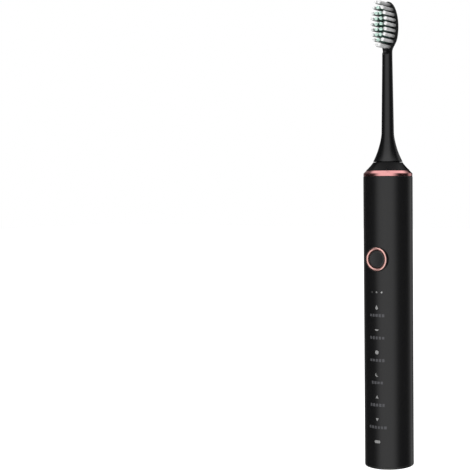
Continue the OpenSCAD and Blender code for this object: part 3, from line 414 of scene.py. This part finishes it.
stemSizes = {  # mm
    "foot": 16, "footWall": 1.1, "flare": 15, "neck": 6.7, "neckTop": 5.5, "plateWide": 11.4,
    "plateLong": 26.8, "plateThick": 3.1, "plateFace": 0.75, "blend": 7, "bore": 2.3, "boreTop": 23.15,
    "hollow": 9, "rimRound": 0.25, "edgeRound": 0.3, "rimGroove": 2, "grooveDeep": 0.1, "grooveHalf": 0.2,
}
stemCounts = {"around": 72, "front": 24, "flare": 40, "neck": 20, "scoop": 44, "tip": 48}
frontCorner = math.radians(-50)  # where a bare neck's front begins
stemLow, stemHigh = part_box("brush_stem")
footZ, tipZ = stemLow[2] / mm, stemHigh[2] / mm
plateZ = tipZ - stemSizes["plateLong"] / 2
plateZ0 = tipZ - stemSizes["plateLong"]


def neckRadius(z):
    z0 = footZ + stemSizes["flare"]
    share = min(1, (z - z0) / (plateZ0 - 4 - z0))
    return (stemSizes["neck"] + (stemSizes["neckTop"] - stemSizes["neck"]) * share) / 2


def plateHalf(z):
    u = (z - plateZ) / (stemSizes["plateLong"] / 2)
    return stemSizes["plateWide"] / 2 * math.sqrt(max(0, 1 - u * u))


def scoopY(z):  # where the plate's face, or the hollow under it, cuts at height z
    top, face = stemSizes["neckTop"] / 2, stemSizes["plateFace"]
    marks = [(-top - 0.2, plateZ0 - 1.6), (-top + 1, plateZ0 - 0.9),
             (face - 0.1, plateZ0 - 0.4), (face, plateZ0 + 1.6)]
    if z <= marks[0][1]:
        return -99  # far in front, so nothing is cut
    if z >= marks[3][1]:
        return face
    low, high = 0.0, 1.0
    for _ in range(40):
        half = (low + high) / 2
        if bezier(*marks, half)[1] < z:
            low = half
        else:
            high = half
    return bezier(*marks, low)[0]


def outlineAngles(corner):  # round the back from corner to corner, and then across the front
    count, front = stemCounts["around"], stemCounts["front"]
    backAngles = [corner + (math.pi - 2 * corner) * i / (count - 1) for i in range(count)]
    frontAngles = [math.pi - corner + (2 * corner + math.pi) * i / front for i in range(1, front)]
    return backAngles, frontAngles


def stemOutline(z):
    t = min(1, max(0, (z - plateZ0) / stemSizes["blend"]))
    b = t * t * (3 - 2 * t)
    thick = stemSizes["plateThick"] * (0.35 + 0.65 * plateHalf(z) / (stemSizes["plateWide"] / 2))
    r = (1 - b) * neckRadius(z)
    wide = (r ** 4 + (plateHalf(z) if z > plateZ0 else 0) ** 4) ** 0.25
    mid = b * (stemSizes["plateFace"] + 0.3 * thick)
    back, frontward, power = r + b * 0.7 * thick, r + b * (0.3 * thick + 1.2), 1 - 0.25 * b

    def at(angle):
        c, s = math.cos(angle), math.sin(angle)
        return (wide * math.copysign(abs(c) ** power, c),
                mid + (back if s > 0 else frontward) * math.copysign(abs(s) ** power, s))

    cut = scoopY(z)
    corner = frontCorner
    if cut > mid - frontward:
        share = (mid - cut) / frontward
        crossing = -math.asin(min(1, max(0, share)) ** (1 / power))
        corner = max(corner, crossing)
    isCut = corner > frontCorner + math.radians(0.1)
    backAngles, frontAngles = outlineAngles(corner)
    ring = [at(angle) for angle in backAngles]
    left, right = ring[-1], ring[0]
    for i, angle in enumerate(frontAngles, 1):
        x, y = at(angle)
        flat = (left[0] + (right[0] - left[0]) * i / stemCounts["front"], cut)
        ring.append(flat if y < cut and isCut else (x, max(y, cut)))
    return ring


def roundOutline(r):
    backAngles, frontAngles = outlineAngles(frontCorner)
    return [(r * math.cos(a), r * math.sin(a)) for a in backAngles + frontAngles]


def footRings():  # from the bore's end down the inside, over the rim and up the flare
    size = stemSizes
    foot, edge, bore = size["foot"] / 2, size["rimRound"], size["bore"]
    inner, groove = foot - size["footWall"], size["rimGroove"]
    ledge = inner - 1.1
    profile = [(size["boreTop"], bore), (size["boreTop"] - 0.2, bore), (size["hollow"] + 0.2, bore),
               (size["hollow"], bore), (groove + size["grooveHalf"], ledge),
               (groove, ledge - size["grooveDeep"]), (groove - size["grooveHalf"], ledge),
               (0.1, inner), (0, inner + 0.08), (0, foot - edge)]
    for angle in (math.radians(30), math.radians(60)):
        profile.append((edge * (1 - math.cos(angle)), foot - 0.1 - edge * (1 - math.sin(angle))))
    flareMarks = [(foot, 0), (foot - 1.7, 0.2 * size["flare"]),
                  (size["neck"] / 2 + 0.6, 0.6 * size["flare"]), (size["neck"] / 2, size["flare"])]
    for i in range(2, stemCounts["flare"] + 1):
        r, z = bezier(*flareMarks, i / stemCounts["flare"])
        profile.append((z, r))
    return [(footZ + z, roundOutline(r)) for z, r in profile]


def neckRings():  # the neck, the scoop, and the plate up to its tip
    bladeZ, fullZ = plateZ0 - 1.7, plateZ0 + stemSizes["blend"]
    z0 = footZ + stemSizes["flare"]
    neck, scoop, tip = stemCounts["neck"], stemCounts["scoop"], stemCounts["tip"]
    quarter = math.pi / 2 / (tip + 0.4)  # the last ring stays just short of the tip, where it would close
    neckZs = [z0 + (bladeZ - z0) * i / neck for i in range(1, neck + 1)]
    scoopZs = [bladeZ + (fullZ - bladeZ) * i / scoop for i in range(1, scoop + 1)]
    tipZs = [fullZ + (tipZ - fullZ) * math.sin(quarter * i) for i in range(1, tip + 1)]
    rings = [(z, roundOutline(neckRadius(z))) for z in neckZs]
    return rings + [(z, stemOutline(z)) for z in scoopZs + tipZs]


def makeStem():
    rings = footRings() + neckRings()
    n = len(rings[0][1])
    verts = [(x * mm, y * mm, z * mm) for z, ring in rings for x, y in ring]
    last = (len(rings) - 1) * n
    faces = skinFaces(len(rings), n) + [list(range(n - 1, -1, -1)), list(range(last, last + n))]
    stem = meshObject("brushStemSkin", verts, faces, finishes["stemBlack"])
    turnOut(stem)
    trim = stem.modifiers.new("edge", "BEVEL")
    trim.width = stemSizes["edgeRound"] * mm
    trim.segments = 3
    trim.limit_method = "ANGLE"
    trim.angle_limit = math.radians(38)
    trim.harden_normals = False
    applied(stem)
    stem.data.set_sharp_from_angle(angle=math.radians(50))
    return stem


stem = makeStem()
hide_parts("brush_stem")
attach(stem, "head")
print("brush stem,", len(stem.data.polygons), "faces")


# Button pad: a shallow dish with a soft rim, on the cap's own post

padSizes = {"flange": 0.75, "rim": 0.75, "dish": 0.30, "behind": 1.15, "around": 128}  # mm


def makePad():
    size = padSizes
    low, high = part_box("button_cap")
    front, middleZ = low[1] / mm, (low[2] + high[2]) / 2 / mm
    r = (high[0] - low[0]) / 2 / mm - size["flange"]
    flat, rim, back = r - size["rim"], size["rim"], front + size["behind"]
    profile = [(flat * i / 10, front + size["dish"] * (1 - (i / 10) ** 2)) for i in range(1, 11)]
    for angle in (math.radians(90 * i / 8) for i in range(1, 9)):
        profile.append((flat + rim * math.sin(angle), front + rim * (1 - math.cos(angle))))
    profile += [(r, back - 0.1), (r - 0.1, back)]
    n = size["around"]
    verts = [(0, (front + size["dish"]) * mm, middleZ * mm)]
    for radius, y in profile:
        verts += [(radius * math.cos(a) * mm, y * mm, (middleZ + radius * math.sin(a)) * mm)
                  for a in (2 * math.pi * i / n for i in range(n))]
    verts.append((0, back * mm, middleZ * mm))
    last = 1 + (len(profile) - 1) * n
    faces = [[0, 1 + (i + 1) % n, 1 + i] for i in range(n)] + skinFaces(len(profile), n, 1)
    faces += [[last + i, last + (i + 1) % n, len(verts) - 1] for i in range(n)]
    pad = meshObject("buttonPad", verts, faces, finishes["buttonSatin"])
    turnOut(pad)
    return pad


pad = makePad()
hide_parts("button_cap")
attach(pad, "button")
print("button pad,", len(pad.data.polygons), "faces")


# Bristles: filaments in tufts, from geometry nodes

tuftValues = {  # mm
    "rows": (2, 3, 4, 4, 4, 4, 4, 3, 2), "rowPitch": 2.8, "fieldWide": 8.7, "fieldExtra": 0.7,
    "fieldUp": 0.4, "fieldPower": 1.7, "tuftRadius": 0.85, "free": 11.1, "rise": 1.6, "innerDrop": 0.25,
    "sunk": 0.4, "filament": 0.105, "gap": 0.205, "splay": 0.006, "uneven": 0.12,
    "whiteSeed": 4, "greenSeed": 9,
}


def tuftRoots():
    rows, pitch, power = tuftValues["rows"], tuftValues["rowPitch"], tuftValues["fieldPower"]
    middle = (len(rows) - 1) / 2
    fieldZ = plateZ + tuftValues["fieldUp"]
    halfLong = pitch * middle + tuftValues["fieldExtra"]
    white, green = [], []
    for k, count in enumerate(rows):
        dz = (k - middle) * pitch
        halfWide = tuftValues["fieldWide"] / 2 * (1 - (abs(dz) / halfLong) ** power) ** (1 / power)
        free = tuftValues["free"] + tuftValues["rise"] * (abs(dz) / (pitch * middle)) ** 3
        for i in range(count):
            x = halfWide * (2 * i / (count - 1) - 1)
            if 0 < i < count - 1:
                green.append((x, fieldZ + dz, free - tuftValues["innerDrop"]))
            else:
                white.append((x, fieldZ + dz, free))
    return white, green


def startTree(name, sizes):  # a geometry tree that takes the named sizes, a seed and a finish
    tree = bpy.data.node_groups.new(name, "GeometryNodeTree")
    face = tree.interface
    face.new_socket("Geometry", in_out="INPUT", socket_type="NodeSocketGeometry")
    for label in sizes:
        face.new_socket(label, in_out="INPUT", socket_type="NodeSocketFloat")
    face.new_socket("Seed", in_out="INPUT", socket_type="NodeSocketInt")
    face.new_socket("Finish", in_out="INPUT", socket_type="NodeSocketMaterial")
    face.new_socket("Geometry", in_out="OUTPUT", socket_type="NodeSocketGeometry")
    make = Maker(tree)
    take = {socket.name: Wire(make, socket) for socket in tree.nodes.new("NodeGroupInput").outputs}
    return make, take


def endTree(make, take, solid):
    solid = make.node("GeometryNodeSetMaterial", {}, {0: solid, "Material": take["Finish"]})
    make.join(make.tree.nodes.new("NodeGroupOutput").inputs[0], solid)
    return make.tree


def filamentPole(make, take):  # a thin pole of unit length along -Y whose end is rounded
    line = make.node("GeometryNodeCurvePrimitiveLine", {}, {"Start": (0, 0, 0), "End": (0, -1, 0)})
    line = make.node("GeometryNodeResampleCurve", {}, {0: line, "Count": 34})
    along = make.node("GeometryNodeSplineParameter")
    line = make.node("GeometryNodeStoreNamedAttribute", {"data_type": "FLOAT", "domain": "POINT"},
                     {0: line, "Name": "along", "Value": along})
    ends = make.math("MAXIMUM", make.math("GREATER_THAN", along, 0.95), make.math("LESS_THAN", along, 0.01))
    line = make.node("GeometryNodeDeleteGeometry", {"domain": "POINT"}, {0: line, 1: 1 - ends})
    toEnd = make.math("MAXIMUM", (along - 0.955) / 0.0451, 0.0)  # 0 where the rounding starts, 1 at the end
    taper = make.math("SQRT", make.math("MAXIMUM", 1 - toEnd ** 2, 0.03))
    profile = make.node("GeometryNodeCurvePrimitiveCircle", {},
                        {"Resolution": 5, "Radius": take["Filament radius"]})
    return make.node("GeometryNodeCurveToMesh", {}, {0: line, 1: profile, "Scale": taper, "Fill Caps": True})


def bristleTree():
    make, take = startTree("bristleTufts",
                           ("Tuft radius", "Filament radius", "Filament gap", "Splay", "Uneven"))
    seed = take["Seed"]

    # A disc of evenly spread filament roots for each tuft, lying in the plate's face
    disc = make.node("GeometryNodeMeshCircle", {"fill_type": "TRIANGLE_FAN"},
                     {"Vertices": 40, "Radius": take["Tuft radius"]})
    disc = make.node("GeometryNodeTransform", {}, {0: disc, "Rotation": (math.radians(90), 0, 0)})
    spots = make.node("GeometryNodeDistributePointsOnFaces", {"distribute_method": "POISSON"},
                      {0: disc, "Distance Min": take["Filament gap"], "Density Max": 9e7, "Seed": seed})
    here = make.node("GeometryNodeInputPosition")
    tufts = make.node("GeometryNodeStoreNamedAttribute", {"data_type": "FLOAT_VECTOR", "domain": "POINT"},
                      {0: take["Geometry"], "Name": "centre", "Value": here})
    turned = make.node("ShaderNodeCombineXYZ", {}, {1: make.random(0.0, 2 * math.pi, seed)})
    discs = make.node("GeometryNodeInstanceOnPoints", {}, {0: tufts, 2: spots, "Rotation": turned})
    roots = make.node("GeometryNodeRealizeInstances", {}, {0: discs})

    # The filaments splay a little from their tuft's middle and end a little unevenly
    reach = make.node("GeometryNodeInputNamedAttribute", {"data_type": "FLOAT"}, {"Name": "reach"})
    centre = make.node("GeometryNodeInputNamedAttribute", {"data_type": "FLOAT_VECTOR"}, {"Name": "centre"})
    lean = make.scaled(make.vector("SUBTRACT", here, centre), take["Splay"] / take["Tuft radius"])
    jitter = make.randomVector((-0.005, 0, -0.005), (0.005, 0, 0.005), seed)
    way = make.vector("ADD", make.vector("ADD", lean, jitter), (0, -1, 0))
    turn = make.node("FunctionNodeAlignRotationToVector", {"axis": "Y"}, {"Vector": make.scaled(way, -1.0)})
    long = reach + make.random(-1.0, 0.0, seed) * take["Uneven"]
    size = make.node("ShaderNodeCombineXYZ", {}, {0: 1.0, 1: long, 2: 1.0})
    filaments = make.node("GeometryNodeInstanceOnPoints", {},
                          {0: roots, 2: filamentPole(make, take), "Rotation": turn, "Scale": size})
    solid = make.node("GeometryNodeRealizeInstances", {}, {0: filaments})
    return endTree(make, take, make.node("GeometryNodeSetShadeSmooth", {}, {0: solid}))


def growFrom(obj, tree, values):  # runs a tree on an object and keeps its result as a plain mesh
    grow = obj.modifiers.new("grow", "NODES")
    grow.node_group = tree
    sockets = {item.name: item.identifier for item in tree.interface.items_tree if item.in_out == "INPUT"}
    for label, value in values.items():
        grow[sockets[label]] = value
    applied(obj)


def makeTufts(name, roots, seed, finish, tree):
    faceY = (stemSizes["plateFace"] + tuftValues["sunk"]) * mm
    obj = meshObject(name, [(x * mm, faceY, z * mm) for x, z, _ in roots], [], finish)
    reach = obj.data.attributes.new("reach", "FLOAT", "POINT")
    reach.data.foreach_set("value", [(free + tuftValues["sunk"]) * mm for _, _, free in roots])
    growFrom(obj, tree, {
        "Tuft radius": (tuftValues["tuftRadius"] - tuftValues["filament"]) * mm,
        "Filament radius": tuftValues["filament"] * mm, "Filament gap": tuftValues["gap"] * mm,
        "Splay": tuftValues["splay"], "Uneven": tuftValues["uneven"] * mm, "Seed": seed, "Finish": finish})
    for extra in ("reach", "centre"):
        if extra in obj.data.attributes:
            obj.data.attributes.remove(obj.data.attributes[extra])
    print(name, len(obj.data.polygons), "faces")
    return obj


whiteRoots, greenRoots = tuftRoots()
# The root and side colours of each fibre are painted shade; the tip colour is the fibre's own
whiteFibre = filamentFibre("whiteFibre", (0.16, 0.16, 0.16), (0.72, 0.72, 0.72), (0.99, 0.99, 0.99), 0.90)
mintFibre = filamentFibre("mintFibre", (0.02, 0.05, 0.04), (0.085, 0.18, 0.14), (0.80, 0.97, 0.90), 0.90)
bristles = bristleTree()
whiteTufts = makeTufts("whiteBristles", whiteRoots, tuftValues["whiteSeed"], whiteFibre, bristles)
greenTufts = makeTufts("mintBristles", greenRoots, tuftValues["greenSeed"], mintFibre, bristles)
for piece, node, slotName in ((whiteTufts, "white_tufts", "bristle_white"),
                              (greenTufts, "green_tufts", "bristle_green")):
    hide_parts(node)
    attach(piece, "head")


# Printed blocks under the mode marks, from geometry nodes

blockValues = {  # mm
    "radius": 13.25, "handleTop": 156, "firstDrop": 69.5, "chargeHeight": 14.8, "marks": 7, "below": 4.2,
    "proud": 0.02, "thick": 0.03,
    "blocks": (5, 5, 5, 4, 5, 6), "pitch": 1.85, "wide": 1.5, "high": 1.7, "least": 0.7, "seed": 3,
}


def blockTree():
    make, take = startTree("modeBlocks", ("Width", "Height", "Thickness", "Radius", "Least"))
    shape = make.node("ShaderNodeCombineXYZ", {}, {0: take["Width"], 1: take["Thickness"], 2: take["Height"]})
    block = make.node("GeometryNodeMeshCube", {},
                      {"Size": shape, "Vertices X": 5, "Vertices Y": 2, "Vertices Z": 2})
    chance = make.randomVector((0.75, 1, 0), (1, 1, 1), take["Seed"])
    chance = make.node("ShaderNodeSeparateXYZ", {}, {0: chance})
    tall = make.other(chance, "Z") * (1 - take["Least"]) + take["Least"]
    size = make.node("ShaderNodeCombineXYZ", {}, {0: chance, 1: 1.0, 2: tall})
    blocks = make.node("GeometryNodeInstanceOnPoints", {}, {0: take["Geometry"], 2: block, "Scale": size})
    blocks = make.node("GeometryNodeRealizeInstances", {}, {0: blocks})

    # Bent round the handle
    here = make.node("ShaderNodeSeparateXYZ", {}, {0: make.node("GeometryNodeInputPosition")})
    angle, deep = here / take["Radius"], take["Radius"] - make.other(here, "Y")
    bent = make.node("ShaderNodeCombineXYZ", {}, {0: deep * make.math("SINE", angle),
                     1: deep * make.math("COSINE", angle) * -1.0, 2: make.other(here, "Z")})
    return endTree(make, take, make.node("GeometryNodeSetPosition", {}, {0: blocks, "Position": bent}))


def makeBlocks():
    size = blockValues
    firstMark = size["handleTop"] - size["firstDrop"]
    markStep = (firstMark - size["chargeHeight"]) / (size["marks"] - 1)
    places = []
    for k, count in enumerate(size["blocks"]):
        z = firstMark - k * markStep - size["below"]
        places += [((i - (count - 1) / 2) * size["pitch"] * mm, 0, z * mm) for i in range(count)]
    ink = printedInk("markInk")
    blocks = meshObject("modeBlocks", places, [], ink)
    growFrom(blocks, blockTree(), {
        "Width": size["wide"] * mm, "Height": size["high"] * mm, "Thickness": size["thick"] * mm,
        "Radius": (size["radius"] + size["proud"] - size["thick"] / 2) * mm, "Least": size["least"],
        "Seed": size["seed"], "Finish": ink})
    return blocks


blocks = makeBlocks()
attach(blocks, "handle")
print("mode blocks,", len(blocks.data.polygons), "faces")


# Studio: pale floor, pale room and long soft lights

cameraValues = {  # degrees, metres and the lens in mm
    "azimuth": 29, "distance": 0.5969, "height": 0.150, "pitch": 2.454, "roll": -0.31,
    "lens": 85, "shift": -0.3261, "nearest": 0.02,
}
aim = math.radians(cameraValues["azimuth"])
toCamera = Vector((math.sin(aim), -math.cos(aim), 0))
toRight = Vector((math.cos(aim), math.sin(aim), 0))


def addCamera():
    data = bpy.data.cameras.new("camera")
    data.lens = cameraValues["lens"]
    data.shift_x = cameraValues["shift"]
    data.clip_start = cameraValues["nearest"]
    camera = bpy.data.objects.new("camera", data)
    bpy.context.scene.collection.objects.link(camera)
    pitch = math.radians(cameraValues["pitch"])
    look = -toCamera * math.cos(pitch) - Vector((0, 0, math.sin(pitch)))
    turned = look.to_track_quat("-Z", "Y").to_matrix().to_4x4()
    roll = Matrix.Rotation(math.radians(cameraValues["roll"]), 4, "Z")
    place = toCamera * cameraValues["distance"] + Vector((0, 0, cameraValues["height"]))
    camera.matrix_world = Matrix.Translation(place) @ turned @ roll
    bpy.context.scene.camera = camera


lightValues = {  # bearing from the camera to its right in degrees, then metres and watts
    "keyPanel": {"bearing": -12, "distance": 0.9, "height": 0.30, "wide": 1.00, "tall": 0.9, "power": 6.0,
                 "aimHeight": 0.12},
    "topPanel": {"bearing": 10, "distance": 0.75, "height": 0.85, "wide": 0.7, "tall": 0.5, "power": 4.0,
                 "aimHeight": 0.2},
}


def softLight(name, size):
    turn = math.radians(size["bearing"])
    away = toCamera * math.cos(turn) + toRight * math.sin(turn)
    place = away * size["distance"] + Vector((0, 0, size["height"]))
    data = bpy.data.lights.new(name, "AREA")
    data.shape = "RECTANGLE"
    data.size = size["wide"]
    data.size_y = size["tall"]
    data.energy = size["power"]
    light = bpy.data.objects.new(name, data)
    light.visible_glossy = False  # the painted panels are what gloss sees
    bpy.context.scene.collection.objects.link(light)
    look = Vector((0, 0, size["aimHeight"])) - place
    light.matrix_world = Matrix.Translation(place) @ look.to_track_quat("-Z", "Y").to_matrix().to_4x4()


roomValues = {  # panels: bearing from, to, soft edge in degrees, then brightness
    "panels": ((-54, 33, 19, 0.94), (112, 146, 8, 0.45), (-178, -140, 14, 0.14)),
    "sideTop": 0.80, "sideSoft": 0.12, "topStart": 0.72, "topSoft": 0.10, "top": 0.95,
    "dark": 0.010, "fill": 0.40, "floorGlow": 0.80, "floorHalf": 3.0,
}


def paleRoom():
    # Gloss sees tall panels painted by bearing, so a standing tube has the same bands from top to bottom
    world = bpy.data.worlds.new("paleRoom")
    bpy.context.scene.world = world
    world.use_nodes = True
    world.cycles.sampling_method = "NONE"
    make = Maker(world.node_tree)
    ray = make.node("ShaderNodeLightPath")
    way = make.node("ShaderNodeTexCoord", out="Generated")
    ahead = make.other(make.vector("DOT_PRODUCT", way, toCamera), "Value")
    aside = make.other(make.vector("DOT_PRODUCT", way, toRight), "Value")
    up = make.other(make.node("ShaderNodeSeparateXYZ", {}, {0: way}), "Z")
    bearing = make.math("ARCTAN2", aside, ahead) * (180 / math.pi)
    panels = 0.0
    for low, high, soft, level in roomValues["panels"]:
        panels = make.band(bearing, low, high, soft) * level + panels
    sides = 1 - make.rise(up, roomValues["sideTop"], roomValues["sideSoft"])
    top = make.rise(up, roomValues["topStart"], roomValues["topSoft"]) * roomValues["top"]
    glossy = panels * sides + top + roomValues["dark"]
    seen = make.other(ray, "Is Camera Ray")
    fill = make.other(ray, "Is Diffuse Ray") * roomValues["fill"]
    level = seen + make.other(ray, "Is Glossy Ray") * glossy + fill
    back = world.node_tree.nodes["Background"]
    back.inputs["Color"].default_value = (1, 1, 1, 1)
    make.join(back.inputs["Strength"], level)


def paleFloor():  # gloss doesn't see the floor
    paint = Paint("paleFloor")
    paint.set(colour=(0.9, 0.9, 0.9), roughness=0.8, specular=0.1)
    glow = paint.node("ShaderNodeEmission", {}, {"Color": (1, 1, 1, 1), "Strength": roomValues["floorGlow"]})
    both = paint.node("ShaderNodeAddShader", {}, {0: paint.shader.outputs[0], 1: glow})
    glossRay = paint.other(paint.node("ShaderNodeLightPath"), "Is Glossy Ray")
    clear = paint.node("ShaderNodeBsdfTransparent")
    shown = paint.node("ShaderNodeMixShader", {}, {0: glossRay, 1: both, 2: clear})
    paint.join(paint.tree.nodes["Material Output"].inputs["Surface"], shown)
    half = roomValues["floorHalf"]
    corners = [(-half, -half, 0), (half, -half, 0), (half, half, 0), (-half, half, 0)]
    floor = meshObject("floor", corners, [[0, 1, 2, 3]], paint.material)


bpy.context.scene.view_settings.view_transform = "Standard"
addCamera()
paleRoom()
paleFloor()
for lightName, lightSize in lightValues.items():
    softLight(lightName, lightSize)
print("studio ready")
